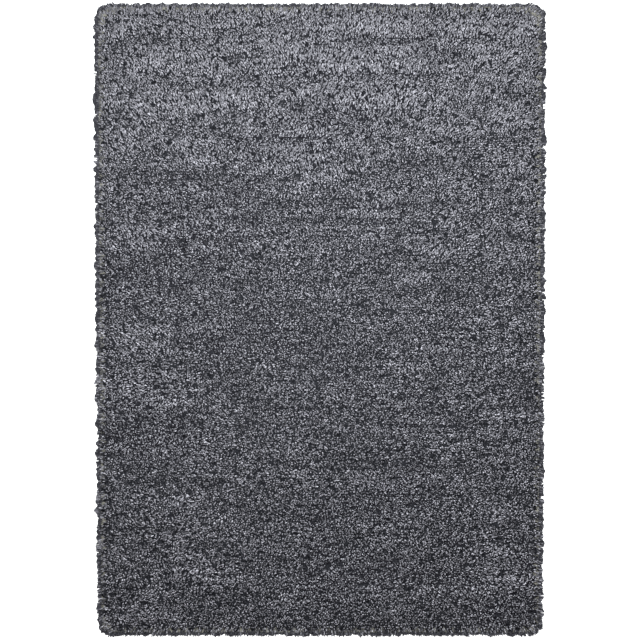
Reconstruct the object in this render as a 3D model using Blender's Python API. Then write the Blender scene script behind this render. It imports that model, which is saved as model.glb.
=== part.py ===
"""Shag rug, 1.20 m by 1.70 m, lying flat.

The rug is one cloth, so it is one solid: a lumpy slab of pile with a flat underside, and a
ring of locks round its rim that lean out and rest level on the floor. The origin is on the
floor under the middle of the rug. X runs across it, Y along it and Z up. The end at +Y is the
one whose pile lies over most and shows the deepest partings.
"""

import math

import bmesh
import bpy
from mathutils import Vector, noise

# Driving dimensions, in metres.
RUG_WIDTH = 1.200           # over the tips of the rim locks, along X
RUG_LENGTH = 1.700          # over the tips of the rim locks, along Y
PILE_HEIGHT = 0.030         # mean height of the pile over the floor
SHOULDER_HEIGHT = 0.020     # height of the slab where the rim locks spring from it
SHOULDER_WIDTH = 0.050      # the pile rounds over towards the rim within this distance of it
FAR_CORNER_RADIUS = 0.042   # the two corners at +Y
NEAR_CORNER_RADIUS = 0.028  # the two corners at -Y

# The grid that the slab is raised from: one rim lock stands on each of its outer cells.
CELLS_ACROSS = 48
CELLS_ALONG = 69

# Rim locks are four-sided. Each springs from one cell of the slab's wall, droops through the
# sections below and ends in a blunt tip, and its underside is level on the floor all the way.
LOCK_REACH = (0.010, 0.020)  # shortest and longest, past the slab
LOCK_SWAY = 0.005            # most that a tip leans to one side
LOCK_GIRTH = (0.80, 1.15)    # thinnest and thickest lock, as a share of the sections' sizes
LOCK_SECTIONS = (
    # share of reach, width as a share of the cell's, height as a share of the shoulder's
    (0.55, 0.72, 0.80),
    (1.00, 0.48, 0.34),
)

# The pile's surface is the sum of these waves. Size is the distance over which a wave changes,
# across and along the rug, and height is how far it lifts the pile at the +Y end and at the
# -Y end. A creased wave is rounded on top and has sharp partings between its lumps.
WAVES = (
    # across, along, height at +Y, height at -Y, creased
    (0.210, 0.095, 0.0100, 0.0045, True),
    (0.105, 0.062, 0.0055, 0.0040, True),
    (0.450, 0.300, 0.0020, 0.0020, False),
)
TUFT_UNEVENNESS = 0.0016    # how far a tuft stands over or under its neighbours
EDGE_WANDER = 0.003         # how far the slab's outline strays inwards
EDGE_WANDER_LENGTH = 0.140  # distance over which it strays

# Rows of the noise, so that no two uses of it follow each other.
EDGE_ROW = len(WAVES)
TUFT_ROW, REACH_ROW, GIRTH_ROW, SWAY_ROW = range(4)
ROW_STEP = 7.31             # how far apart the rows lie in the noise
CHANCES_PER_METRE = 977.0   # fine enough that every corner of the slab draws its own

SHARP_ANGLE = math.radians(50.0)  # edges sharper than this aren't shaded smooth
YARN_COLOUR = (0.127, 0.128, 0.145, 1.0)
YARN_ROUGHNESS = 0.95


def clear_scene():
    for old in list(bpy.data.objects):
        bpy.data.objects.remove(old, do_unlink=True)


def make_material(name, colour, roughness):
    material = bpy.data.materials.new(name)
    material.use_nodes = True
    shader = material.node_tree.nodes["Principled BSDF"]
    shader.inputs["Base Color"].default_value = colour
    shader.inputs["Roughness"].default_value = roughness
    shader.inputs["Metallic"].default_value = 0.0
    return material


def between(limits, share):
    """The value that lies a share, 0 to 1, of the way from the lower to the upper limit."""
    low, high = limits
    return low + (high - low) * share


def swell(x, y, across, along, row):
    """A smooth value from -1 to 1 that changes over these distances across and along the rug."""
    return noise.noise(Vector((x / across, y / along, row * ROW_STEP)))


def chance(x, y, row):
    """An even spread of values from 0 to 1, fixed by a place on the rug and a row."""
    place = Vector((x * CHANCES_PER_METRE, y * CHANCES_PER_METRE, row * ROW_STEP))
    return 0.5 + 0.5 * noise.cell(place)


def pile_height(x, y):
    """Height of the pile over the floor at a place on the rug."""
    towards_far_end = y / RUG_LENGTH + 0.5
    height = PILE_HEIGHT
    for row, (across, along, far, near, creased) in enumerate(WAVES):
        wave = swell(x, y, across, along, row)
        lift = between((near, far), towards_far_end)
        if creased:
            height += lift * (2.0 * math.sqrt(abs(wave)) - 1.0)
        else:
            height += lift * wave
    return height + TUFT_UNEVENNESS * (2.0 * chance(x, y, TUFT_ROW) - 1.0)


def rounded_over(height, from_rim):
    """The pile's height where it rounds over towards the rim, as a quarter of an ellipse."""
    if from_rim >= SHOULDER_WIDTH:
        return height
    short_by = 1.0 - from_rim / SHOULDER_WIDTH
    return between((SHOULDER_HEIGHT, height), math.sqrt(1.0 - short_by**2))


def round_corner(x, y, half_width, half_length):
    """Moves a place in a corner of the plain rectangle inwards, so that the corner is an arc."""
    radius = FAR_CORNER_RADIUS if y > 0.0 else NEAR_CORNER_RADIUS
    centre_x = math.copysign(half_width - radius, x)
    centre_y = math.copysign(half_length - radius, y)
    out_x = x - centre_x
    out_y = y - centre_y
    if out_x * x <= 0.0 or out_y * y <= 0.0:
        return x, y
    share = max(abs(out_x), abs(out_y)) / math.hypot(out_x, out_y)
    return centre_x + out_x * share, centre_y + out_y * share


def slab_outline(x, y, half_width, half_length):
    """Draws a place on the slab inwards by the outline's wander, less the further in it is."""
    x, y = round_corner(x, y, half_width, half_length)
    inwards = EDGE_WANDER * abs(swell(x, y, EDGE_WANDER_LENGTH, EDGE_WANDER_LENGTH, EDGE_ROW))
    return x * (1.0 - inwards / half_width), y * (1.0 - inwards / half_length)


def raise_slab(mesh):
    """The slab: a lumpy top, a low wall round it and one flat face underneath.

    Returns the faces of the wall, from which the locks spring.
    """
    half_width = RUG_WIDTH / 2.0 - LOCK_REACH[1]
    half_length = RUG_LENGTH / 2.0 - LOCK_REACH[1]
    bmesh.ops.create_grid(mesh, x_segments=CELLS_ACROSS, y_segments=CELLS_ALONG, size=1.0)
    for vert in mesh.verts:
        x = vert.co.x * half_width
        y = vert.co.y * half_length
        from_rim = min(half_width - abs(x), half_length - abs(y))
        x, y = slab_outline(x, y, half_width, half_length)
        vert.co = Vector((x, y, rounded_over(pile_height(x, y), from_rim)))
    rim = [edge for edge in mesh.edges if edge.is_boundary]
    wall = bmesh.ops.extrude_edge_only(mesh, edges=rim)["geom"]
    for element in wall:
        if isinstance(element, bmesh.types.BMVert):
            element.co.z = 0.0
    bottom = [edge for edge in mesh.edges if edge.is_boundary]
    bmesh.ops.contextual_create(mesh, geom=bottom)
    bmesh.ops.recalc_face_normals(mesh, faces=mesh.faces)
    return [element for element in wall if isinstance(element, bmesh.types.BMFace)]


def grow_lock(mesh, face):
    """Draws one face of the wall out into a lock that droops and narrows to a blunt tip."""
    root = face.calc_center_median()
    outwards = Vector((face.normal.x, face.normal.y, 0.0)).normalized()
    sideways = Vector((-outwards.y, outwards.x, 0.0))
    half_cell = max(abs((vert.co - root).dot(sideways)) for vert in face.verts)
    reach = between(LOCK_REACH, chance(root.x, root.y, REACH_ROW))
    girth = between(LOCK_GIRTH, chance(root.x, root.y, GIRTH_ROW))
    sway = LOCK_SWAY * (2.0 * chance(root.x, root.y, SWAY_ROW) - 1.0)
    for share_out, share_wide, share_high in LOCK_SECTIONS:
        face = bmesh.ops.extrude_discrete_faces(mesh, faces=[face])["faces"][0]
        for vert in face.verts:
            side = math.copysign(half_cell * share_wide * girth, (vert.co - root).dot(sideways))
            top = SHOULDER_HEIGHT * share_high * girth if vert.co.z > 0.0 else 0.0
            vert.co = root + outwards * (reach * share_out) + sideways * (side + sway * share_out)
            vert.co.z = top


def make_rug(collection):
    mesh = bmesh.new()
    for face in raise_slab(mesh):
        grow_lock(mesh, face)
    bmesh.ops.recalc_face_normals(mesh, faces=mesh.faces)
    data = bpy.data.meshes.new("shag_rug")
    mesh.to_mesh(data)
    mesh.free()
    data.shade_smooth()
    data.set_sharp_from_angle(angle=SHARP_ANGLE)
    data.materials.append(make_material("shag_yarn", YARN_COLOUR, YARN_ROUGHNESS))
    rug = bpy.data.objects.new("shag_rug", data)
    collection.objects.link(rug)
    return rug


def main():
    clear_scene()
    collection = bpy.data.collections.new("shag_rug")
    bpy.context.scene.collection.children.link(collection)
    make_rug(collection)


main()
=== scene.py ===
"""Looks of a shag rug that lies flat on a white floor.

From the floor up, its pieces are a ground cloth with an overcast edge, a bed low in the pile
that is dark with painted shade, and two-ply yarns rooted in the cloth. The yarns stand in five
strips side by side, and in one row along the cloth's edge that droops towards the floor. All
the pieces but the overcast edge stand in for the solid. X runs across the rug, Y along it and
Z up, from the floor under its middle. The far end is the one at +Y and the near end the one at
-Y.
"""

import math
from typing import NamedTuple

import bmesh
import bpy
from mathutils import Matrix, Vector


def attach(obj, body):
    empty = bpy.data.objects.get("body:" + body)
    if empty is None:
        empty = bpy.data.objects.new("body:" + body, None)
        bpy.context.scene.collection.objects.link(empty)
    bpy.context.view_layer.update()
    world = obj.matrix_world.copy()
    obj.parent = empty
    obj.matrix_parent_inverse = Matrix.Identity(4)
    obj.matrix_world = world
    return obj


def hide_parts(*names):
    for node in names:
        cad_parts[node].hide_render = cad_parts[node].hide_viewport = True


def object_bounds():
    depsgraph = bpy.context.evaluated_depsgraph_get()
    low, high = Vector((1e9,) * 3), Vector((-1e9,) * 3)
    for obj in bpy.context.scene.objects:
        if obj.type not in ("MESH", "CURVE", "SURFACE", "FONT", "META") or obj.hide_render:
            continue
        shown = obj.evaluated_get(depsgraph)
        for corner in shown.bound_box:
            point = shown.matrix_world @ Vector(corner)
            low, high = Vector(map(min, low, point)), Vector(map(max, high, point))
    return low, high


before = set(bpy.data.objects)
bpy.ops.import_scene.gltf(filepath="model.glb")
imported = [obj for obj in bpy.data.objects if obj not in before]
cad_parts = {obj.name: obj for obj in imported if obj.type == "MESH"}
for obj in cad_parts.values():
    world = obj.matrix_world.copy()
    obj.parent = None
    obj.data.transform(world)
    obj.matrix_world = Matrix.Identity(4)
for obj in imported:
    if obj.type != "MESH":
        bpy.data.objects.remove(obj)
CAD_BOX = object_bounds()
SOLID = "shag_rug"
BODY = "root"

# Sizes of the ground cloth, its edge and the bed, in metres.
GROUND_INSET = 0.0035       # from the tips of the rim locks in to the ground cloth's edge
GROUND_THICKNESS = 0.0022
FAR_CORNER_RADIUS = 0.037   # of the ground cloth, at +Y
NEAR_CORNER_RADIUS = 0.027  # of the ground cloth, at -Y
CORNER_POINTS = 7           # along each of its corners
OVERCAST_RADIUS = 0.0021    # of the overcast edge's roll
OVERCAST_WIDENING = 1.25    # the roll is this many times wider than it is high
OVERCAST_WAIST = 0.74       # its radius between one stitch and the next, as a share
OVERCAST_PITCH = 0.0060     # from one stitch to the next
OVERCAST_SIDES = 7          # of its section
OVERCAST_CORNER_POINTS = 9
OVERCAST_GAP = 0.0001       # least height of the roll over Z = 0
BED_INSET = 0.005           # from the solid's outline in to the bed's
BED_GAP = 0.0003            # from the foot of the yarns up to the bed's underside
BED_SHARE = 0.36            # height of the bed, as a share of the solid's
MERGE_DISTANCE = 0.00001    # joins the solid's loose triangles at their corners

# Sizes of the yarns, in metres.
YARN_SPACING = 0.00425
YARN_RADIUS = 0.00145
YARN_SIDES = 3
BENT_SHARE = 0.10           # of the yarns; the others are straight
STRIPS = 5                  # the pile is cut into this many strips, side by side
ROOT_JITTER = 0.55          # width of the square that a root strays in, in spacings
ROOT_HEIGHT = 0.0021        # where a yarn leaves the ground cloth
LEAST_DEPTH = 0.0012        # no yarn is rooted nearer to the ground cloth's edge
FLOOR_GAP = 0.0002          # least height of the yarns over Z = 0
EDGE_ROW_INSET = 0.0018     # of the row of yarns on the ground cloth's edge
EDGE_YARN_SPACING = 0.0020  # along that row
EDGE_YARN_STRAY = 0.0012    # its roots stray as if this were their spacing
EDGE_YARN_RADIUS = 0.0024

# The yarns' map: each column is a shade, from dark to light. Each row starts the plies at
# another place round the yarn. A yarn's faces keep this far inside their cell of the map.
SHADES = 32
TURNS = 8
CELL_MARGIN_U = 0.06
CELL_MARGIN_V = 0.02
JUST_UNDER = 0.01           # keeps a share of 1 in the last column or row
PILE_MAP = "OFBake"

low, high = (Vector(corner) for corner in CAD_BOX)
RUG_WIDTH = high.x - low.x
RUG_LENGTH = high.y - low.y
GROUND_WIDTH = RUG_WIDTH - 2.0 * GROUND_INSET
GROUND_LENGTH = RUG_LENGTH - 2.0 * GROUND_INSET


# ---------------------------------------------------------------- node trees

class Value:
    """A socket of a node tree. Arithmetic on it adds Math nodes to the tree."""

    def __init__(self, net, socket):
        self.net = net
        self.socket = socket

    def __add__(self, other):
        return self.net.maths("ADD", self, other)

    __radd__ = __add__

    def __sub__(self, other):
        return self.net.maths("SUBTRACT", self, other)

    def __rsub__(self, other):
        return self.net.maths("SUBTRACT", other, self)

    def __mul__(self, other):
        return self.net.maths("MULTIPLY", self, other)

    __rmul__ = __mul__

    def __truediv__(self, other):
        return self.net.maths("DIVIDE", self, other)

    def __rtruediv__(self, other):
        return self.net.maths("DIVIDE", other, self)

    def __pow__(self, other):
        return self.net.maths("POWER", self, other)

    def __neg__(self):
        return self.net.maths("MULTIPLY", self, -1.0)

    def __abs__(self):
        return self.net.maths("ABSOLUTE", self)

    def __gt__(self, other):
        return self.net.maths("GREATER_THAN", self, other)

    def __lt__(self, other):
        return self.net.maths("LESS_THAN", self, other)


class Net:
    """A tree of shader or geometry nodes, built one node at a time."""

    def __init__(self, tree):
        self.tree = tree

    def node(self, kind, settings=None, inputs=None):
        """Adds a node. Settings are set before inputs, whose keys are names or numbers."""
        made = self.tree.nodes.new(kind)
        for name, value in (settings or {}).items():
            setattr(made, name, value)
        for key, value in (inputs or {}).items():
            self.feed(made.inputs[key], value)
        return made

    def feed(self, socket, value):
        if isinstance(value, Value):
            value = value.socket
        if isinstance(value, bpy.types.NodeSocket):
            self.tree.links.new(value, socket)
        else:
            socket.default_value = value

    def get(self, kind, settings=None, inputs=None, output=0):
        """Adds a node and returns one of its outputs."""
        return Value(self, self.node(kind, settings, inputs).outputs[output])

    def maths(self, operation, *values):
        inputs = dict(enumerate(values))
        return self.get("ShaderNodeMath", {"operation": operation}, inputs)

    def vector_maths(self, operation, *values, output=0):
        inputs = dict(enumerate(values))
        return self.get("ShaderNodeVectorMath", {"operation": operation}, inputs, output)

    def scaled(self, vector, factor):
        inputs = {0: vector, "Scale": factor}
        return self.get("ShaderNodeVectorMath", {"operation": "SCALE"}, inputs)

    def plus(self, first, second):
        return self.vector_maths("ADD", first, second)

    def combine(self, x, y, z):
        return self.get("ShaderNodeCombineXYZ", None, {0: x, 1: y, 2: z})

    def separate(self, vector):
        made = self.node("ShaderNodeSeparateXYZ", None, {0: vector})
        return [Value(self, socket) for socket in made.outputs]

    def ramp(self, value, start, end, low_value=0.0, high_value=1.0, smooth=False):
        """Maps value from start..end to low_value..high_value, held at both ends."""
        settings = {"clamp": True, "interpolation_type": "SMOOTHSTEP" if smooth else "LINEAR"}
        inputs = {0: value, 1: start, 2: end, 3: low_value, 4: high_value}
        return self.get("ShaderNodeMapRange", settings, inputs)

    def noise(self, vector, scale, detail=2.0, roughness=0.5, output="Fac"):
        inputs = {"Vector": vector, "Scale": scale, "Detail": detail, "Roughness": roughness}
        return self.get("ShaderNodeTexNoise", {"noise_dimensions": "3D"}, inputs, output)

    def spots(self, x, y, across, along, row, detail, roughness=0.5):
        """Noise in spots of this size across and along the rug, in a row of its own."""
        return self.noise(self.combine(x / across, y / along, row), 1.0, detail, roughness)

    def blend(self, factor, first, second):
        """A colour between two colours."""
        inputs = {0: factor, 6: first, 7: second}
        return self.get("ShaderNodeMix", {"data_type": "RGBA", "clamp_factor": True}, inputs, 2)

    def tint(self, first, second):
        """One colour multiplied by another."""
        inputs = {0: 1.0, 6: first, 7: second}
        settings = {"data_type": "RGBA", "blend_type": "MULTIPLY"}
        return self.get("ShaderNodeMix", settings, inputs, 2)

    def chance(self, low_value, high_value, seed):
        inputs = {2: low_value, 3: high_value, "Seed": seed}
        return self.get("FunctionNodeRandomValue", {"data_type": "FLOAT"}, inputs, 1)

    def chance_vector(self, limits, seed):
        """A random vector, each part of which lies between its limit and minus that."""
        inputs = {0: tuple(-limit for limit in limits), 1: limits, "Seed": seed}
        return self.get("FunctionNodeRandomValue", {"data_type": "FLOAT_VECTOR"}, inputs, 0)


# ---------------------------------------------------------------- materials

class Finish(NamedTuple):
    """How a fabric takes the light."""

    roughness: float   # where its pattern is 0
    unevenness: float  # what the pattern adds to the roughness where it is 1
    gloss: float       # the shader's specular level
    relief: float      # strength of its bumps
    depth: float       # of the bumps, in metres


YARN_FINISH = Finish(roughness=0.78, unevenness=0.2, gloss=0.05, relief=0.5, depth=0.0006)
BED_FINISH = Finish(roughness=0.85, unevenness=0.1, gloss=0.05, relief=0.8, depth=0.002)
GROUND_FINISH = Finish(roughness=0.8, unevenness=0.15, gloss=0.25, relief=0.8, depth=0.0008)
OVERCAST_FINISH = Finish(roughness=0.75, unevenness=0.2, gloss=0.5, relief=0.6, depth=0.0005)

# Colours are linear. A grain is a noise's scale: how often it changes in a metre.
FABRIC_DETAIL = 3.0         # layers of every fabric's noise
FIBRE_ROUGHNESS = 0.6       # how much the finer layers of it count

DARK_PLY = (0.0118, 0.0119, 0.0167, 1.0)
LIGHT_PLY = (0.678, 0.647, 0.713, 1.0)
SHADE_CURVE = 0.75          # under 1, the middle shades are lighter than half way
SHADE_LIFT = 0.02           # added to the lightness of every shade
LOW_PLY_LIGHTNESS = 0.43    # of a shade, on the ply that lies lower
HIGH_PLY_GAIN = 0.45        # what the other ply adds to that
PLY_EDGE = 0.5              # the wave round a yarn turns from ply to ply within this of 0
FIBRE_LIGHTNESS = 0.24      # how far the fibres change it
FIBRES_ACROSS = 900.0       # the fibres' scale on the map, across and along it
FIBRES_ALONG = 260.0
ROW_PHASE = 0.37            # turns by which the plies differ from one row of the map to the next
COLUMN_PHASE = 0.61         # and from one column to the next
TIP_SWEEP = 2.2             # turns of that wave over the half cell that holds the tip's face
# Painted shade, meant to darken each yarn's lower part in the shadow deep in the pile; by the map
# it falls on one side of the tip's face.
TIP_PAINTED_SHADE = 0.05            # painted shade: darkest colour of the tip's face, as a share, before the curve
TIP_PAINTED_SHADE_START = 0.30      # the painted shade is that dark up to here, as a share of the half cell
TIP_PAINTED_SHADE_CURVE = 1.7
PLY_RELIEF = 0.6            # share of the plies in the bumps
FIBRE_RELIEF = 0.8          # and of the fibres

# The bed is yarn low in the pile, coloured far darker than the yarns above it: painted shade of
# the pile's depth.
DARK_BED_PAINTED_SHADE = (0.004, 0.004, 0.005, 1.0)
LIGHT_BED_PAINTED_SHADE = (0.025, 0.025, 0.030, 1.0)
BED_GRAIN = 260.0
BED_ROUGHNESS = 0.65        # how much the finer layers of its noise count
BED_TUFTS = 190.0           # tufts in a metre
BED_TUFT_PAINTED_SHADE = 0.5        # painted shade: how much darker it is between the tufts
BED_RAMP = (0.05, 0.45)     # where its pattern is darkest and lightest

DARK_GROUND = (0.075, 0.072, 0.070, 1.0)
LIGHT_GROUND = (0.36, 0.335, 0.29, 1.0)
WARP_PITCH = 0.0050         # metres that the weave takes to repeat, across the rug
WEFT_PITCH = 0.0038         # and along it
WEFT_SHARE = 0.8            # how high the weft stands beside the warp
SLUB_GRAIN = 420.0
SLUB_LIGHTNESS = 0.6
SLUB_RELIEF = 0.3
SOILING_GRAIN = 9.0         # of the cloth's broad, faint patches
SOILING_SHARE = 0.2
GROUND_RAMP = (0.1, 0.9)    # where its pattern is darkest and lightest

DARK_OVERCAST = (0.022, 0.022, 0.026, 1.0)
LIGHT_OVERCAST = (0.12, 0.12, 0.135, 1.0)
OVERCAST_GRAIN = 900.0


def start_shader(name):
    """A material with one Principled shader. Returns the material, its net and the shader."""
    material = bpy.data.materials.new(name)
    material.use_nodes = True
    net = Net(material.node_tree)
    return material, net, material.node_tree.nodes["Principled BSDF"]


def finish_fabric(net, shader, finish, colour, pattern, height):
    """Feeds a fabric's shader. The pattern, 0 to 1, changes its roughness."""
    net.feed(shader.inputs["Base Color"], colour)
    net.feed(shader.inputs["Roughness"], finish.roughness + pattern * finish.unevenness)
    shader.inputs["Specular IOR Level"].default_value = finish.gloss
    bump = net.get("ShaderNodeBump", None, {
        "Strength": finish.relief, "Distance": finish.depth, "Height": height,
    })
    net.feed(shader.inputs["Normal"], bump)


def pile_material():
    """Two-ply yarn, whose shade is its column of the map.

    One wave goes round the yarn: one ply is raised and light, and the other is low and darker.
    In a cell of the map, V runs from 1 at the yarn's root to a half at its tip, and the face of
    the tip lies under a half. So over_tip is 1 all over the sides, where the plies turn only as
    the section does and no painted shade falls. Only the face of the tip is darkened, by a
    painted shade that was meant for the yarn's lower part in the shadow deep in the pile.
    """
    material, net, shader = start_shader("shag_yarn")
    across, along, _ = net.separate(net.get("ShaderNodeUVMap", {"uv_map": PILE_MAP}))
    column = net.maths("FLOOR", across * SHADES)
    row = net.maths("FLOOR", along * TURNS)
    around = net.maths("FRACT", across * SHADES)
    in_row = net.maths("FRACT", along * TURNS)
    over_tip = net.maths("MINIMUM", in_row * 2.0, 1.0)
    shade = ((column + 0.5) / SHADES) ** SHADE_CURVE
    phase = row * ROW_PHASE + column * COLUMN_PHASE
    wave = net.maths("SINE", (around + over_tip * TIP_SWEEP + phase) * math.tau)
    ply = net.ramp(wave, -PLY_EDGE, PLY_EDGE, smooth=True)
    fibre_place = net.combine(across * FIBRES_ACROSS, along * FIBRES_ALONG, phase)
    fibre = net.noise(fibre_place, 1.0, FABRIC_DETAIL, FIBRE_ROUGHNESS)
    plied = shade * (LOW_PLY_LIGHTNESS + ply * HIGH_PLY_GAIN)
    lightness = plied + (fibre - 0.5) * FIBRE_LIGHTNESS + SHADE_LIFT
    colour = net.blend(lightness, DARK_PLY, LIGHT_PLY)
    # Painted shade on the tip's face.
    tip_painted_shade = net.ramp(over_tip, TIP_PAINTED_SHADE_START, 1.0, TIP_PAINTED_SHADE, 1.0) ** TIP_PAINTED_SHADE_CURVE
    colour = net.tint(colour, net.combine(tip_painted_shade, tip_painted_shade, tip_painted_shade))
    height = wave * PLY_RELIEF + fibre * FIBRE_RELIEF
    finish_fabric(net, shader, YARN_FINISH, colour, fibre, height)
    return material


def bed_material():
    """The mass of yarn low in the pile, coloured far darker than the yarns with painted shade."""
    material, net, shader = start_shader("pile_bed")
    place = net.get("ShaderNodeTexCoord", output="Object")
    fine = net.noise(place, BED_GRAIN, FABRIC_DETAIL, BED_ROUGHNESS)
    tufts = net.get("ShaderNodeTexVoronoi", None, {"Vector": place, "Scale": BED_TUFTS})
    # Painted shade between the tufts.
    lightness = net.ramp(fine - tufts * BED_TUFT_PAINTED_SHADE, *BED_RAMP)
    colour = net.blend(lightness, DARK_BED_PAINTED_SHADE, LIGHT_BED_PAINTED_SHADE)
    finish_fabric(net, shader, BED_FINISH, colour, fine, fine - tufts)
    return material


def ground_material():
    """Plain weave."""
    material, net, shader = start_shader("ground_cloth")
    place = net.get("ShaderNodeTexCoord", output="Object")
    x, y, _ = net.separate(place)
    warp = net.maths("SINE", x * (math.tau / WARP_PITCH))
    weft = net.maths("SINE", y * (math.tau / WEFT_PITCH))
    weave = warp * weft
    over = net.maths("MAXIMUM", weave, -weave * WEFT_SHARE)
    slub = net.noise(place, SLUB_GRAIN, FABRIC_DETAIL, FIBRE_ROUGHNESS)
    soiling = net.noise(place, SOILING_GRAIN, FABRIC_DETAIL)
    woven = net.ramp(over + slub * SLUB_LIGHTNESS, *GROUND_RAMP)
    lightness = woven * (1.0 - SOILING_SHARE) + soiling * SOILING_SHARE
    colour = net.blend(lightness, DARK_GROUND, LIGHT_GROUND)
    finish_fabric(net, shader, GROUND_FINISH, colour, slub, over + slub * SLUB_RELIEF)
    return material


def overcast_material():
    """The dark yarn sewn over the ground cloth's edge."""
    material, net, shader = start_shader("overcast_yarn")
    place = net.get("ShaderNodeTexCoord", output="Object")
    fibre = net.noise(place, OVERCAST_GRAIN, FABRIC_DETAIL, FIBRE_ROUGHNESS)
    colour = net.blend(fibre, DARK_OVERCAST, LIGHT_OVERCAST)
    finish_fabric(net, shader, OVERCAST_FINISH, colour, fibre, fibre)
    return material


# ---------------------------------------------------------------- ground cloth

def ground_outline(inset=0.0, corner_points=CORNER_POINTS):
    """Points of the ground cloth's outline, anticlockwise: four arcs joined by straight runs."""
    half_width = GROUND_WIDTH / 2.0 - inset
    half_length = GROUND_LENGTH / 2.0 - inset
    corners = (
        # side of X, side of Y, radius, angle at which the arc starts
        (1, -1, NEAR_CORNER_RADIUS, -math.pi / 2.0),
        (1, 1, FAR_CORNER_RADIUS, 0.0),
        (-1, 1, FAR_CORNER_RADIUS, math.pi / 2.0),
        (-1, -1, NEAR_CORNER_RADIUS, math.pi),
    )
    points = []
    for side_x, side_y, radius, start in corners:
        radius -= inset
        for step in range(corner_points):
            angle = start + math.pi / 2.0 * step / (corner_points - 1)
            x = side_x * (half_width - radius) + radius * math.cos(angle)
            y = side_y * (half_length - radius) + radius * math.sin(angle)
            points.append((x, y))
    return points


def walk_outline(outline, spacing):
    """Evenly spaced places along a closed outline, each with the way out from it."""
    corners = [Vector(point) for point in outline]
    carried = 0.0
    for start, end in zip(corners, corners[1:] + corners[:1]):
        run = (end - start).length
        heading = (end - start).normalized()
        outwards = Vector((heading.y, -heading.x))
        while carried < run:
            yield start.lerp(end, carried / run), outwards
            carried += spacing
        carried -= run


def link_mesh(name, data, material=None):
    """Makes a mesh a piece. A mesh that has its material already is given none."""
    piece = bpy.data.objects.new(name, data)
    bpy.context.scene.collection.objects.link(piece)
    if material:
        data.materials.clear()
        data.materials.append(material)
    return piece


def make_ground_cloth():
    """One flat sheet with rounded corners."""
    mesh = bmesh.new()
    outline = [mesh.verts.new((x, y, 0.0)) for x, y in ground_outline()]
    face = mesh.faces.new(outline)
    grown = bmesh.ops.extrude_face_region(mesh, geom=[face])["geom"]
    for element in grown:
        if isinstance(element, bmesh.types.BMVert):
            element.co.z = GROUND_THICKNESS
    bmesh.ops.recalc_face_normals(mesh, faces=mesh.faces)
    data = bpy.data.meshes.new("ground_cloth")
    mesh.to_mesh(data)
    mesh.free()
    return link_mesh("ground_cloth", data, ground_material())


def make_overcast_edge():
    """A roll of stitches along the ground cloth's edge, thinner between one and the next."""
    outline = ground_outline(corner_points=OVERCAST_CORNER_POINTS)
    rings = list(walk_outline(outline, OVERCAST_PITCH / 2.0))
    if len(rings) % 2:
        rings.pop()
    mesh = bmesh.new()
    loops = []
    for index, (spot, outwards) in enumerate(rings):
        radius = OVERCAST_RADIUS * (1.0 if index % 2 else OVERCAST_WAIST)
        loop = []
        for side in range(OVERCAST_SIDES):
            angle = math.tau * side / OVERCAST_SIDES
            out_by = radius * OVERCAST_WIDENING * math.cos(angle)
            up_by = radius * math.sin(angle)
            loop.append(mesh.verts.new((
                spot.x + outwards.x * out_by,
                spot.y + outwards.y * out_by,
                OVERCAST_RADIUS + OVERCAST_GAP + up_by,
            )))
        loops.append(loop)
    for index, loop in enumerate(loops):
        after = loops[(index + 1) % len(loops)]
        for side in range(OVERCAST_SIDES):
            other = (side + 1) % OVERCAST_SIDES
            mesh.faces.new((loop[side], loop[other], after[other], after[side]))
    bmesh.ops.recalc_face_normals(mesh, faces=mesh.faces)
    data = bpy.data.meshes.new("overcast_edge")
    mesh.to_mesh(data)
    mesh.free()
    data.shade_smooth()
    return link_mesh("overcast_edge", data, overcast_material())


def make_pile_bed():
    """A lower copy of the solid's own lumps, between the roots of the yarns."""
    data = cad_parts[SOLID].data.copy()
    mesh = bmesh.new()
    mesh.from_mesh(data)
    bmesh.ops.remove_doubles(mesh, verts=mesh.verts, dist=MERGE_DISTANCE)
    drawn_in_x = 1.0 - BED_INSET / (RUG_WIDTH / 2.0)
    drawn_in_y = 1.0 - BED_INSET / (RUG_LENGTH / 2.0)
    for vert in mesh.verts:
        vert.co.x *= drawn_in_x
        vert.co.y *= drawn_in_y
        vert.co.z = ROOT_HEIGHT + BED_GAP + vert.co.z * BED_SHARE
    mesh.to_mesh(data)
    mesh.free()
    data.shade_smooth()
    data.name = "pile_bed"
    return link_mesh("pile_bed", data, bed_material())


# ---------------------------------------------------------------- how the pile lies

# A lean is an angle in radians, and it points where the yarn leans to.
NAP_MIDDLE = 0.03           # lean of the whole pile towards +Y, half way along the rug
NAP_FAR = 0.14              # at the far end
NAP_NEAR = 0.20             # and at the near end
CLUMP_SIZE = 0.022          # yarns this near each other lean together
CLUMP_LEAN = 0.17
CLUMP_STRETCH = 1.6         # clumps are this many times wider across the rug than along it
PATCH_SIZE = 0.075          # patches are wider, and lean together in the same way
PATCH_LEAN = 0.22
PATCH_STRETCH = 2.6
PATCH_FAR_CALM = 0.50       # the share of this lean that the far end is spared
STRAY_LEAN = 0.23           # a single yarn's own lean
STRAY_LIMITS = (1.0, 0.55, 0.0)  # its most across the rug and along it, as shares
NEAR_CALM = 0.80            # at the near end, clumps and single yarns lean by this share
UPHILL_LEAN = 0.30          # on a slope of the solid, yarns gather towards the lump's top
UPHILL_DEPTHS = (0.012, 0.055)   # this starts and is full this far in from the cloth's edge
STEEPEST_UP = 0.5           # the upward part of the solid's normal is taken as at least this
MOST_LEAN = 1.15            # no yarn leans more
RIM_WIDTH = 0.022           # the rim's own lean takes over within this of the cloth's edge
RIM_LEAN = 0.38             # outwards, at the edge
RIM_STRAY = 0.18            # a single yarn's own lean there
EDGE_ROW_LEAN = 1.00        # the rim's lean for the row on the edge itself
EDGE_SENSE = 0.030          # the way out turns to an edge within this of where its arcs begin
RADIUS_CHANGE = 0.01        # from the middle, the corners' radius changes within this

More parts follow.
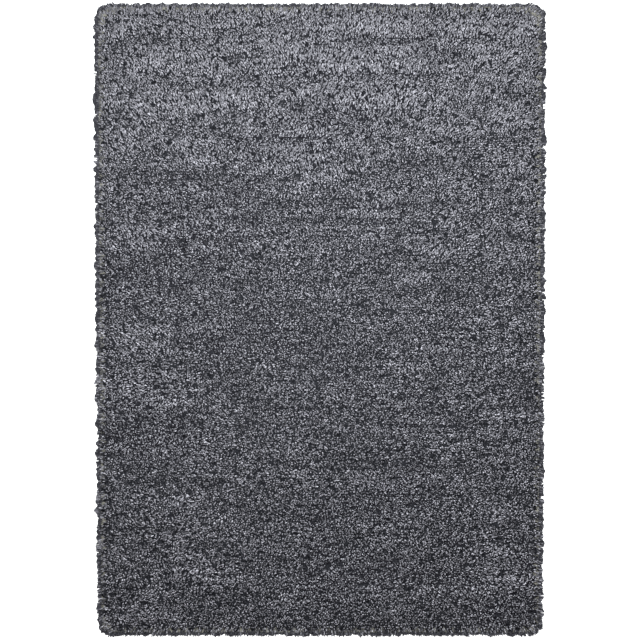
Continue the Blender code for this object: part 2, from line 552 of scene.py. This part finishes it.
# The shape of a yarn.
LOW_BEND = 0.62             # its lower half leans by this much of its angle
TOP_BEND = 1.34             # and its upper half by this much
RIM_DROOP = 0.40            # what is added to the upper half's at the rim
LEAST_PILE = 0.023          # height of the solid that a yarn reckons with at least
LENGTH_SHARE = 1.02         # of an upright yarn, of the solid's height over its root
LEAN_LENGTH = 0.38          # what a radian of lean adds to that share
LENGTH_LIMITS = (0.75, 1.06)     # shortest and longest, as shares
GIRTH_LIMITS = (0.82, 1.18)      # thinnest and thickest, as shares
ROOT_GIRTH = 0.86           # of the yarn, as a share
TIP_BLOOM = 0.22            # what is added to that share at the tip
SECTION_TWIST = 1.3         # radians that the section turns from root to tip

# Pits and holes are places where the yarns stand shorter, and their colour is darker by a painted
# shade. Thresholds are the noise's values at which one starts and is full.
PIT_ACROSS = 0.030          # size of the wider pits, across the rug
PIT_ALONG = 0.013           # and along it
PIT_THRESHOLDS = (0.54, 0.65)
PIT_DIP = 0.38              # how much shorter the yarns in a pit stand
PIT_PAINTED_SHADE = 0.45            # painted shade: how much darker they are, as a share of all shades
PIT_FAR = 1.0               # depth of the pits at the far end, as a share
PIT_NEAR = 0.6              # and at the near end
PIT_BAND_ACROSS = 0.20      # pits gather in bands of this size
PIT_BAND_ALONG = 0.035
PIT_BAND_THRESHOLDS = (0.38, 0.60)
PIT_BAND_LEAST = 0.35       # depth of the pits between the bands, as a share
HOLE_SIZE = 0.0125          # of the small holes between tufts, dark from depth and from painted shade
HOLE_SQUEEZE = 0.8          # of X in their noise, so they are wider across the rug than along
HOLE_THRESHOLDS = (0.61, 0.64)
HOLE_DIP = 0.90             # how much shorter the yarns in a hole stand
HOLE_PAINTED_SHADE = 0.8            # painted shade: how much darker they are

# Where the tufts at the rim end, in metres.
TUFT_REACH = 0.001          # past the solid's outline, on average
SIDE_REACH = 0.0031         # how much further out the tufts of the long sides end
SIDE_ROUGHNESS = 0.0075     # how far past or short of that the long sides' tufts can end
END_ROUGHNESS = 0.0055      # and the same at the two ends
REACH_SIZE = 0.012          # tufts this near each other end together
LEAST_AWAY = 0.05           # least share of a yarn's lean that is reckoned as going outwards

# The yarns' shades, as shares of all of them. The spread scales what the draw, the tones and the
# painted shade of the pits and the holes come to, and the rim's painted shade is taken off after
# it.
SHADE_SPREAD = 1.20         # from the darkest draw to the lightest
SHADE_OVERHANG = 0.08       # of that, this much is darker than the darkest shade
NEAR_SPREAD = 1.02          # how far the shades differ at the near end
FAR_SPREAD = 0.42           # and at the far end
TONE_ACROSS = 0.35          # size of the wide, faint tones in the pile
TONE_ALONG = 0.045
STREAK_ACROSS = 1.2         # size of the streaks that run across the rug
STREAK_ALONG = 0.022
TONE_DETAIL = 2.0
TONE_GRIT = 0.6             # how much the finer layers of both count
TONE_WEIGHT = 0.85          # how far both change the shade half way along the rug
TONE_END_CALM = 0.45        # what both ends are spared of that
# Painted shade darkens the yarns at the rim, where they droop outwards towards the floor.
RIM_PAINTED_SHADE = 0.76            # painted shade: how much darker the yarns at the rim are
RIM_FALLOFF = 1.3           # over 1, this fades quickly away from the rim
FAR_RIM_RELIEF = 0.22       # the share of this that the far end's rim is spared
NEAR_RIM_PAINTED_SHADE = 0.35       # painted shade that is added at the near end's rim

# Rows of the noise, so that no two uses of it follow each other.
CLUMP_ROW = 0.0
PATCH_ROW = 0.3
PIT_BAND_ROW = 1.7
TONE_ROW = 2.9
PIT_ROW = 4.1
HOLE_ROW = 6.6
STREAK_ROW = 8.8

# What is added to a strip's seed for each of its random draws. The roots' jitter adds nothing.
LEAN_DRAW, LENGTH_DRAW, GIRTH_DRAW, SHADE_DRAW, TURN_DRAW, SPIN_DRAW, BEND_DRAW = range(1, 8)
STRIP_SEED = 11             # from one strip's seed to the next
RIM_SEED = 101

RAY_START = 0.2             # height over the floor from which the solid is looked for, in metres
RAY_LENGTH = 0.5

YARN_INPUTS = (
    ("Solid", "NodeSocketObject"),
    ("Yarn material", "NodeSocketMaterial"),
    ("Yarn spacing", "NodeSocketFloat"),
    ("Yarn radius", "NodeSocketFloat"),
    ("Rim lean", "NodeSocketFloat"),
    ("Seed", "NodeSocketInt"),
)


class Spot(NamedTuple):
    """What the tree knows of the place where a yarn is rooted."""

    place: Value
    x: Value
    y: Value
    depth: Value     # how far inside the ground cloth's outline it lies
    outwards: Value  # the way out from it, of length 1 near an edge and 0 in the middle
    rim: Value       # 1 on the outline and 0 further in than the rim is wide
    end: Value       # 0 at the near end of the rug and 1 at the far end
    farness: Value   # 1 at the far end and 0 from half way along
    nearness: Value  # 1 at the near end and 0 from half way along


def root_spot(net):
    place = net.get("GeometryNodeInputPosition")
    x, y, _ = net.separate(place)
    depth, outwards = depth_in_ground(net, x, y)
    end = net.ramp(y, -RUG_LENGTH / 2.0, RUG_LENGTH / 2.0)
    return Spot(
        place=place, x=x, y=y, depth=depth, outwards=outwards,
        rim=net.ramp(depth, 0.0, RIM_WIDTH, 1.0, 0.0),
        end=end, farness=net.ramp(end, 0.5, 1.0), nearness=net.ramp(end, 0.5, 0.0),
    )


def depth_in_ground(net, x, y):
    """How far inside the ground cloth's outline a place lies, and the way out from it."""
    radius = net.ramp(
        y, -RADIUS_CHANGE, RADIUS_CHANGE, NEAR_CORNER_RADIUS, FAR_CORNER_RADIUS
    )
    over_x = abs(x) - (GROUND_WIDTH / 2.0 - radius)
    over_y = abs(y) - (GROUND_LENGTH / 2.0 - radius)
    corner_x = net.maths("MAXIMUM", over_x, 0.0)
    corner_y = net.maths("MAXIMUM", over_y, 0.0)
    beyond = net.maths("SQRT", corner_x * corner_x + corner_y * corner_y)
    within = net.maths("MINIMUM", net.maths("MAXIMUM", over_x, over_y), 0.0)
    depth = radius - beyond - within
    out_x = net.ramp(over_x, -EDGE_SENSE, 0.0) * net.maths("SIGN", x)
    out_y = net.ramp(over_y, -EDGE_SENSE, 0.0) * net.maths("SIGN", y)
    return depth, net.vector_maths("NORMALIZE", net.combine(out_x, out_y, 0.0))


def read_solid(net, solid, place):
    """The solid's height over a place and the way uphill there, longer the steeper it is."""
    shape = net.node("GeometryNodeObjectInfo", {"transform_space": "ORIGINAL"}, {
        "Object": solid,
        "As Instance": False,
    })
    ray = net.node("GeometryNodeRaycast", None, {
        "Target Geometry": shape.outputs["Geometry"],
        "Source Position": net.plus(place, (0.0, 0.0, RAY_START)),
        "Ray Direction": (0.0, 0.0, -1.0),
        "Ray Length": RAY_LENGTH,
    })
    _, _, top = net.separate(ray.outputs["Hit Position"])
    slope_x, slope_y, up = net.separate(ray.outputs["Hit Normal"])
    up = net.maths("MAXIMUM", up, STEEPEST_UP)
    return top, net.combine(-slope_x / up, -slope_y / up, 0.0)


def shared_lean(net, spot, size, stretch, row):
    """A lean that yarns near each other share, from -0.5 to 0.5 each way."""
    place = net.combine(spot.x / stretch, spot.y, row)
    lean = net.noise(place, 1.0 / size, 1.0, output="Color")
    return net.vector_maths("SUBTRACT", lean, (0.5, 0.5, 0.5))


def pile_lean(net, spot, uphill, outward_lean, seed):
    """The way a yarn leans, and the angle.

    It is the sum of the nap, the clumps and patches, the yarn's own stray and the lumps' slopes,
    and near the ground cloth's edge the rim's own lean takes their place.
    """
    to_far = spot.farness * (NAP_FAR - NAP_MIDDLE)
    to_near = spot.nearness * (NAP_NEAR - NAP_MIDDLE)
    calm = net.ramp(spot.end, 0.0, 1.0, NEAR_CALM, 1.0)
    clump = shared_lean(net, spot, CLUMP_SIZE, CLUMP_STRETCH, CLUMP_ROW)
    patch = shared_lean(net, spot, PATCH_SIZE, PATCH_STRETCH, PATCH_ROW)
    patch_calm = 1.0 - spot.farness * PATCH_FAR_CALM
    stray = net.chance_vector(STRAY_LIMITS, seed + LEAN_DRAW)
    inner = net.ramp(spot.depth, *UPHILL_DEPTHS)
    lean = net.combine(0.0, NAP_MIDDLE + to_far + to_near, 0.0)
    lean = net.plus(lean, net.scaled(clump, calm * (2.0 * CLUMP_LEAN)))
    lean = net.plus(lean, net.scaled(patch, patch_calm * (2.0 * PATCH_LEAN)))
    lean = net.plus(lean, net.scaled(stray, calm * STRAY_LEAN))
    lean = net.plus(lean, net.scaled(uphill, inner * UPHILL_LEAN))
    rim_lean = net.scaled(spot.outwards, outward_lean)
    rim_lean = net.plus(rim_lean, net.scaled(stray, RIM_STRAY))
    lean = net.plus(net.scaled(lean, 1.0 - spot.rim), net.scaled(rim_lean, spot.rim))
    lean_x, lean_y, _ = net.separate(lean)
    flat_lean = net.combine(lean_x, lean_y, 0.0)
    size = net.vector_maths("LENGTH", flat_lean, output="Value")
    return net.vector_maths("NORMALIZE", flat_lean), net.maths("MINIMUM", size, MOST_LEAN)


def pits_and_holes(net, spot, tip):
    """How deep in a pit and in a hole the tip of a yarn is, each from 0 to 1.

    They are read at the tip and not at the root, so a yarn that leans over one is in it.
    """
    tip_x, tip_y, _ = net.separate(tip)
    bands = net.spots(tip_x, tip_y, PIT_BAND_ACROSS, PIT_BAND_ALONG, PIT_BAND_ROW, 1.0)
    bands = net.ramp(bands, *PIT_BAND_THRESHOLDS, PIT_BAND_LEAST, 1.0)
    pits = net.spots(tip_x, tip_y, PIT_ACROSS, PIT_ALONG, PIT_ROW, 2.0)
    pits = net.ramp(pits, *PIT_THRESHOLDS) * bands
    pits = pits * net.ramp(spot.end, 0.0, 1.0, PIT_NEAR, PIT_FAR)
    hole_place = net.combine(tip_x * HOLE_SQUEEZE, tip_y, HOLE_ROW)
    holes = net.ramp(net.noise(hole_place, 1.0 / HOLE_SIZE, 1.0), *HOLE_THRESHOLDS)
    return pits, holes


def trimmed_to_rim(net, spot, heading, length, travel):
    """A yarn's length, cut short where its tip would lie past the end of its tuft."""
    outward = net.vector_maths("DOT_PRODUCT", heading, spot.outwards, output="Value")
    away = net.maths("MAXIMUM", outward, LEAST_AWAY)
    tuft_end = net.noise(spot.place, 1.0 / REACH_SIZE, 0.0)
    side, _, _ = net.separate(spot.outwards)
    reach = spot.depth + (GROUND_INSET + TUFT_REACH) + abs(side) * SIDE_REACH
    roughness = END_ROUGHNESS + abs(side) * (SIDE_ROUGHNESS - END_ROUGHNESS)
    reach = reach + (tuft_end - 0.5) * 2.0 * roughness
    return length * net.maths("MINIMUM", 1.0, reach / (away * travel))


def shade_column(net, spot, pits, holes, seed):
    """The column of the map that a yarn takes its shade from."""
    tone = net.spots(
        spot.x, spot.y, TONE_ACROSS, TONE_ALONG, TONE_ROW, TONE_DETAIL, TONE_GRIT
    )
    streak = net.spots(
        spot.x, spot.y, STREAK_ACROSS, STREAK_ALONG, STREAK_ROW, TONE_DETAIL, TONE_GRIT
    )
    tone = tone + streak - 0.5
    tone_weight = TONE_WEIGHT - (spot.farness + spot.nearness) * TONE_END_CALM
    _, end_side, _ = net.separate(spot.outwards)
    far_side = net.maths("MAXIMUM", end_side, 0.0)
    near_side = net.maths("MAXIMUM", -end_side, 0.0)
    # Painted shade at the rim.
    rim_painted_shade = spot.rim ** RIM_FALLOFF * RIM_PAINTED_SHADE * (1.0 - far_side * FAR_RIM_RELIEF)
    rim_painted_shade = rim_painted_shade + spot.rim * near_side * NEAR_RIM_PAINTED_SHADE
    pick = net.chance(0.0, 1.0, seed + SHADE_DRAW) * SHADE_SPREAD - SHADE_OVERHANG
    # The tones, and painted shade in the pits and holes.
    pick = pick + (tone - 0.5) * tone_weight - pits * PIT_PAINTED_SHADE - holes * HOLE_PAINTED_SHADE
    spread = net.ramp(spot.end, 0.0, 1.0, NEAR_SPREAD, FAR_SPREAD)
    pick = 0.5 + (pick - 0.5) * spread - rim_painted_shade
    return net.maths("FLOOR", net.ramp(pick, 0.0, 1.0) * (SHADES - JUST_UNDER))


# ---------------------------------------------------------------- yarns

def start_tree(name, inputs):
    """A tree of Geometry Nodes with named inputs. Returns the tree, its net and the inputs."""
    tree = bpy.data.node_groups.new(name, "GeometryNodeTree")
    for direction in ("INPUT", "OUTPUT"):
        tree.interface.new_socket(
            "Geometry", in_out=direction, socket_type="NodeSocketGeometry"
        )
    for label, kind in inputs:
        tree.interface.new_socket(label, in_out="INPUT", socket_type=kind)
    net = Net(tree)
    sockets = net.node("NodeGroupInput").outputs
    return tree, net, {socket.name: Value(net, socket) for socket in sockets}


def remember(net, geometry, facts):
    """Stores fields on a geometry's points. Returns the geometry and the stored fields."""
    keep = net.node("GeometryNodeCaptureAttribute", {"domain": "POINT"})
    for label, (kind, _) in facts.items():
        keep.capture_items.new(kind, label)
    net.feed(keep.inputs["Geometry"], geometry)
    for label, (_, value) in facts.items():
        net.feed(keep.inputs[label], value)
    return keep.outputs["Geometry"], {label: Value(net, keep.outputs[label]) for label in facts}


def store_map(net, geometry, value):
    settings = {"data_type": "FLOAT2", "domain": "CORNER"}
    inputs = {"Geometry": geometry, "Name": PILE_MAP, "Value": value}
    return net.get("GeometryNodeStoreNamedAttribute", settings, inputs)


def unit_yarn(net, segments):
    """One straight yarn, a unit long and a unit in radius, with a tip and no face at its root."""
    yarn = net.node("GeometryNodeMeshCylinder", {"fill_type": "NGON"}, {
        "Vertices": YARN_SIDES, "Side Segments": segments, "Radius": 1.0, "Depth": 1.0,
    })
    mapped = store_map(net, yarn.outputs["Mesh"], yarn.outputs["UV Map"])
    _, _, upwards = net.separate(net.get("GeometryNodeInputNormal"))
    rootless = net.get("GeometryNodeDeleteGeometry", {"domain": "FACE"}, {
        "Geometry": mapped, "Selection": upwards < -0.5,
    })
    return net.get("GeometryNodeGeometryToInstance", None, {0: rootless})


def bent_place(net, unit_place, fact):
    """Where a corner of the unit yarn lies on the grown one.

    The lower half leans less than the upper half, the section stays square to the yarn, and
    nothing goes under the floor.
    """
    unit_x, unit_y, unit_z = net.separate(unit_place)
    along = unit_z + 0.5
    twist = fact["Spin"] + along * SECTION_TWIST
    turn_cos = net.maths("COSINE", twist)
    turn_sin = net.maths("SINE", twist)
    bloom = fact["Girth"] * (ROOT_GIRTH + along * TIP_BLOOM)
    in_plane = (unit_x * turn_cos - unit_y * turn_sin) * bloom
    sideways = (unit_x * turn_sin + unit_y * turn_cos) * bloom
    low_angle = fact["Angle"] * LOW_BEND
    top_angle = fact["Angle"] * fact["Droop"]
    here_angle = low_angle + (top_angle - low_angle) * along
    lower = net.maths("MINIMUM", along * 2.0, 1.0)
    upper = net.maths("MAXIMUM", along * 2.0 - 1.0, 0.0)
    half = fact["Length"] * 0.5
    low_out, top_out = net.maths("SINE", low_angle), net.maths("SINE", top_angle)
    low_up, top_up = net.maths("COSINE", low_angle), net.maths("COSINE", top_angle)
    out_by = half * (lower * low_out + upper * top_out)
    up_by = half * (lower * low_up + upper * top_up)
    out_by = out_by + in_plane * net.maths("COSINE", here_angle)
    up_by = up_by - in_plane * net.maths("SINE", here_angle)
    above_floor = net.maths("MAXIMUM", up_by + ROOT_HEIGHT, FLOOR_GAP)
    across = net.vector_maths("CROSS_PRODUCT", (0.0, 0.0, 1.0), fact["Heading"])
    place = net.plus(fact["Root"], net.scaled(fact["Heading"], out_by))
    place = net.plus(place, net.scaled(across, sideways))
    return net.plus(place, net.combine(0.0, 0.0, above_floor))


def place_in_cell(net, fact):
    """Moves the unit yarn's map to the cell that the yarn shares with its like."""
    settings = {"data_type": "FLOAT_VECTOR"}
    corner = net.get("GeometryNodeInputNamedAttribute", settings, {"Name": PILE_MAP})
    unit_u, unit_v, _ = net.separate(corner)
    inner_u = unit_u * (1.0 - 2.0 * CELL_MARGIN_U)
    inner_v = unit_v * (1.0 - 2.0 * CELL_MARGIN_V)
    map_u = (fact["Column"] + CELL_MARGIN_U + inner_u) / SHADES
    map_v = (fact["Row"] + CELL_MARGIN_V + inner_v) / TURNS
    return net.combine(map_u, map_v, 0.0)


def yarn_tree(name):
    """Grows a yarn on each of the given points. Most are straight, and some bend half way up."""
    tree, net, given = start_tree(name, YARN_INPUTS)
    seed = given["Seed"]

    # Roots: the given points, each moved a little at random, less those off the ground cloth.
    jitter = net.chance_vector((0.5, 0.5, 0.0), seed)
    roots = net.get("GeometryNodeSetPosition", None, {
        "Geometry": given["Geometry"],
        "Offset": net.scaled(jitter, given["Yarn spacing"] * ROOT_JITTER),
    })
    spot = root_spot(net)
    roots = net.get("GeometryNodeDeleteGeometry", {"domain": "POINT"}, {
        "Geometry": roots, "Selection": spot.depth < LEAST_DEPTH,
    })

    # Each yarn's lean and length. Travel is how far its tip lies from over its root.
    top, uphill = read_solid(net, given["Solid"], spot.place)
    heading, angle = pile_lean(net, spot, uphill, given["Rim lean"], seed)
    top = net.maths("MAXIMUM", top, LEAST_PILE)
    length = (top - ROOT_HEIGHT) * (LENGTH_SHARE + angle * LEAN_LENGTH)
    length = length * net.chance(*LENGTH_LIMITS, seed + LENGTH_DRAW)
    droop = TOP_BEND + spot.rim * RIM_DROOP
    lean_share = net.maths("SINE", angle * LOW_BEND) + net.maths("SINE", angle * droop)
    travel = length * 0.5 * lean_share
    tip = net.plus(spot.place, net.scaled(heading, travel))
    pits, holes = pits_and_holes(net, spot, tip)
    kept_share = (1.0 - pits * PIT_DIP) * (1.0 - holes * HOLE_DIP)
    length = trimmed_to_rim(net, spot, heading, length * kept_share, travel * kept_share)
    girth = given["Yarn radius"] * net.chance(*GIRTH_LIMITS, seed + GIRTH_DRAW)

    roots, fact = remember(net, roots, {
        "Root": ("VECTOR", spot.place),
        "Heading": ("VECTOR", heading),
        "Angle": ("FLOAT", angle),
        "Length": ("FLOAT", length),
        "Girth": ("FLOAT", girth),
        "Column": ("FLOAT", shade_column(net, spot, pits, holes, seed)),
        "Row": ("FLOAT", net.maths(
            "FLOOR", net.chance(0.0, TURNS - JUST_UNDER, seed + TURN_DRAW)
        )),
        "Spin": ("FLOAT", net.chance(0.0, math.tau, seed + SPIN_DRAW)),
        "Droop": ("FLOAT", droop),
    })

    # A yarn of one segment stays straight, and one of two bends.
    both = net.node("GeometryNodeJoinGeometry")
    for segments in (1, 2):
        net.feed(both.inputs[0], unit_yarn(net, segments))
    yarns, unit = remember(net, both.outputs[0], {
        "Unit place": ("VECTOR", net.get("GeometryNodeInputPosition")),
    })
    placed = net.get("GeometryNodeInstanceOnPoints", None, {
        "Points": roots,
        "Instance": yarns,
        "Pick Instance": True,
        "Instance Index": net.chance(0.0, 1.0, seed + BEND_DRAW) > BENT_SHARE,
    })
    real = net.get("GeometryNodeRealizeInstances", None, {"Geometry": placed})
    bent = net.get("GeometryNodeSetPosition", None, {
        "Geometry": real, "Position": bent_place(net, unit["Unit place"], fact),
    })
    mapped = store_map(net, bent, place_in_cell(net, fact))

    # The sides have four corners and are smooth. The tip has three and is flat.
    around_face = net.node("GeometryNodeInputMeshFaceNeighbors").outputs["Vertex Count"]
    smooth = net.get("GeometryNodeSetShadeSmooth", None, {
        "Geometry": mapped, "Selection": Value(net, around_face) > YARN_SIDES + 0.5,
    })
    finished = net.get("GeometryNodeSetMaterial", None, {
        "Geometry": smooth, "Material": given["Yarn material"],
    })
    net.node("NodeGroupOutput", None, {0: finished})
    return tree


def set_input(modifier, label, value):
    """Sets a modifier's input by the identifier of the socket that has this name."""
    for item in modifier.node_group.interface.items_tree:
        if item.item_type == "SOCKET" and item.in_out == "INPUT" and item.name == label:
            modifier[item.identifier] = value


def grown_piece(name, points, tree, settings):
    """Grows yarns on loose points and returns the result as a plain mesh piece."""
    starter = bpy.data.meshes.new(name)
    starter.from_pydata(points, [], [])
    holder = bpy.data.objects.new(name + "_roots", starter)
    bpy.context.scene.collection.objects.link(holder)
    modifier = holder.modifiers.new("grow", "NODES")
    modifier.node_group = tree
    for label, value in settings.items():
        set_input(modifier, label, value)
    evaluated = holder.evaluated_get(bpy.context.evaluated_depsgraph_get())
    data = bpy.data.meshes.new_from_object(evaluated)
    data.name = name
    bpy.data.objects.remove(holder, do_unlink=True)
    bpy.data.meshes.remove(starter)
    return link_mesh(name, data)


def strip_points(left, width):
    """The roots of a strip as long as the ground cloth, with every other row half a step over."""
    right = left + width
    near = -GROUND_LENGTH / 2.0
    far = GROUND_LENGTH / 2.0
    count_x = round((right - left) / YARN_SPACING)
    count_y = round((far - near) / YARN_SPACING)
    points = []
    for j in range(count_y):
        step_over = 0.75 if j % 2 else 0.25
        y = near + (far - near) * (j + 0.5) / count_y
        for i in range(count_x):
            points.append((left + (right - left) * (i + step_over) / count_x, y, 0.0))
    return points


def make_pile():
    """The strips of pile side by side, and the row of yarns along the ground cloth's edge."""
    tree = yarn_tree("pile_yarns")
    shared = {"Solid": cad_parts[SOLID], "Yarn material": pile_material()}
    pieces = []
    width = GROUND_WIDTH / STRIPS
    for strip in range(STRIPS):
        points = strip_points(-GROUND_WIDTH / 2.0 + strip * width, width)
        pieces.append(grown_piece(f"pile_strip_{strip + 1}", points, tree, {
            **shared,
            "Yarn spacing": YARN_SPACING,
            "Yarn radius": YARN_RADIUS,
            "Rim lean": RIM_LEAN,
            "Seed": STRIP_SEED * (strip + 1),
        }))
    edge_row = walk_outline(ground_outline(EDGE_ROW_INSET), EDGE_YARN_SPACING)
    points = [(spot.x, spot.y, 0.0) for spot, _ in edge_row]
    pieces.append(grown_piece("pile_rim", points, tree, {
        **shared,
        "Yarn spacing": EDGE_YARN_STRAY,
        "Yarn radius": EDGE_YARN_RADIUS,
        "Rim lean": EDGE_ROW_LEAN,
        "Seed": RIM_SEED,
    }))
    return pieces


# ---------------------------------------------------------------- studio

WHITE = (1.0, 1.0, 1.0, 1.0)
FLOOR_SIZE = 14.0
FLOOR_DROP = 0.0004         # from Z = 0 down to the studio's floor, in metres
FLOOR_COLOUR = (0.93, 0.93, 0.93, 1.0)
FLOOR_ROUGHNESS = 0.9
FLOOR_GLOSS = 0.1
FLOOR_GLOW = 0.65           # makes the floor as white as the photo's
SURROUND_STRENGTH = 1.0
SOFTBOX_PLACE = (0.0, 0.46, 2.3)
SOFTBOX_TARGET = (0.0, 0.28, 0.0)
SOFTBOX_SIZE = 0.8
SOFTBOX_POWER = 68.0        # watts
SOFTBOX_SPREAD = math.radians(150.0)
SOFTBOX_COLOUR = (0.92, 1.0, 1.0)

PHOTO_SIDE = 640.0          # of the square photo, in pixels
RUG_PIXELS_LONG = 630.2     # the rug's length in it
LENS = 85.0                 # millimetres, as is the sensor
SENSOR = 36.0
TILT = math.radians(2.2)    # the camera stands over the far half and looks back by this much
PHOTO_RISE = 0.0055         # metres by which the rug lies lower in the photo than its middle


def make_floor():
    bpy.ops.mesh.primitive_plane_add(size=FLOOR_SIZE, location=(0.0, 0.0, -FLOOR_DROP))
    floor = bpy.context.object
    floor.name = "studio_floor"
    material, _, shader = start_shader("studio_floor")
    shader.inputs["Base Color"].default_value = FLOOR_COLOUR
    shader.inputs["Emission Color"].default_value = WHITE
    shader.inputs["Emission Strength"].default_value = FLOOR_GLOW
    shader.inputs["Roughness"].default_value = FLOOR_ROUGHNESS
    shader.inputs["Specular IOR Level"].default_value = FLOOR_GLOSS
    floor.data.materials.append(material)


def make_lights():
    """One softbox over the rug, in a white surround."""
    scene = bpy.context.scene
    world = bpy.data.worlds.new("studio")
    scene.world = world
    world.use_nodes = True
    background = world.node_tree.nodes["Background"]
    background.inputs["Color"].default_value = WHITE
    background.inputs["Strength"].default_value = SURROUND_STRENGTH
    lamp = bpy.data.lights.new("far_softbox", "AREA")
    lamp.shape = "SQUARE"
    lamp.size = SOFTBOX_SIZE
    lamp.energy = SOFTBOX_POWER
    lamp.color = SOFTBOX_COLOUR
    lamp.spread = SOFTBOX_SPREAD
    holder = bpy.data.objects.new("far_softbox", lamp)
    scene.collection.objects.link(holder)
    facing = Vector(SOFTBOX_TARGET) - Vector(SOFTBOX_PLACE)
    holder.location = SOFTBOX_PLACE
    holder.rotation_euler = facing.to_track_quat("-Z", "Y").to_euler()
    holder.visible_camera = False
    scene.view_settings.view_transform = "Standard"


def make_camera():
    """A camera as far off as makes the rug as long as it is in the photo."""
    camera = bpy.data.cameras.new("camera")
    camera.lens = LENS
    camera.sensor_width = SENSOR
    holder = bpy.data.objects.new("camera", camera)
    bpy.context.scene.collection.objects.link(holder)
    distance = RUG_LENGTH / RUG_PIXELS_LONG * PHOTO_SIDE * LENS / SENSOR
    holder.location = (0.0, distance * math.sin(TILT) + PHOTO_RISE, distance * math.cos(TILT))
    holder.rotation_euler = (-TILT, 0.0, 0.0)
    bpy.context.scene.camera = holder


# ---------------------------------------------------------------- the rug

def make_rug():
    pile = make_pile()
    bed = make_pile_bed()
    ground = make_ground_cloth()
    edge = make_overcast_edge()
    for piece in (*pile, bed, ground, edge):
        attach(piece, BODY)
    for piece in (*pile, bed, ground):
        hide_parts(SOLID)


make_rug()
make_floor()
make_lights()
make_camera()
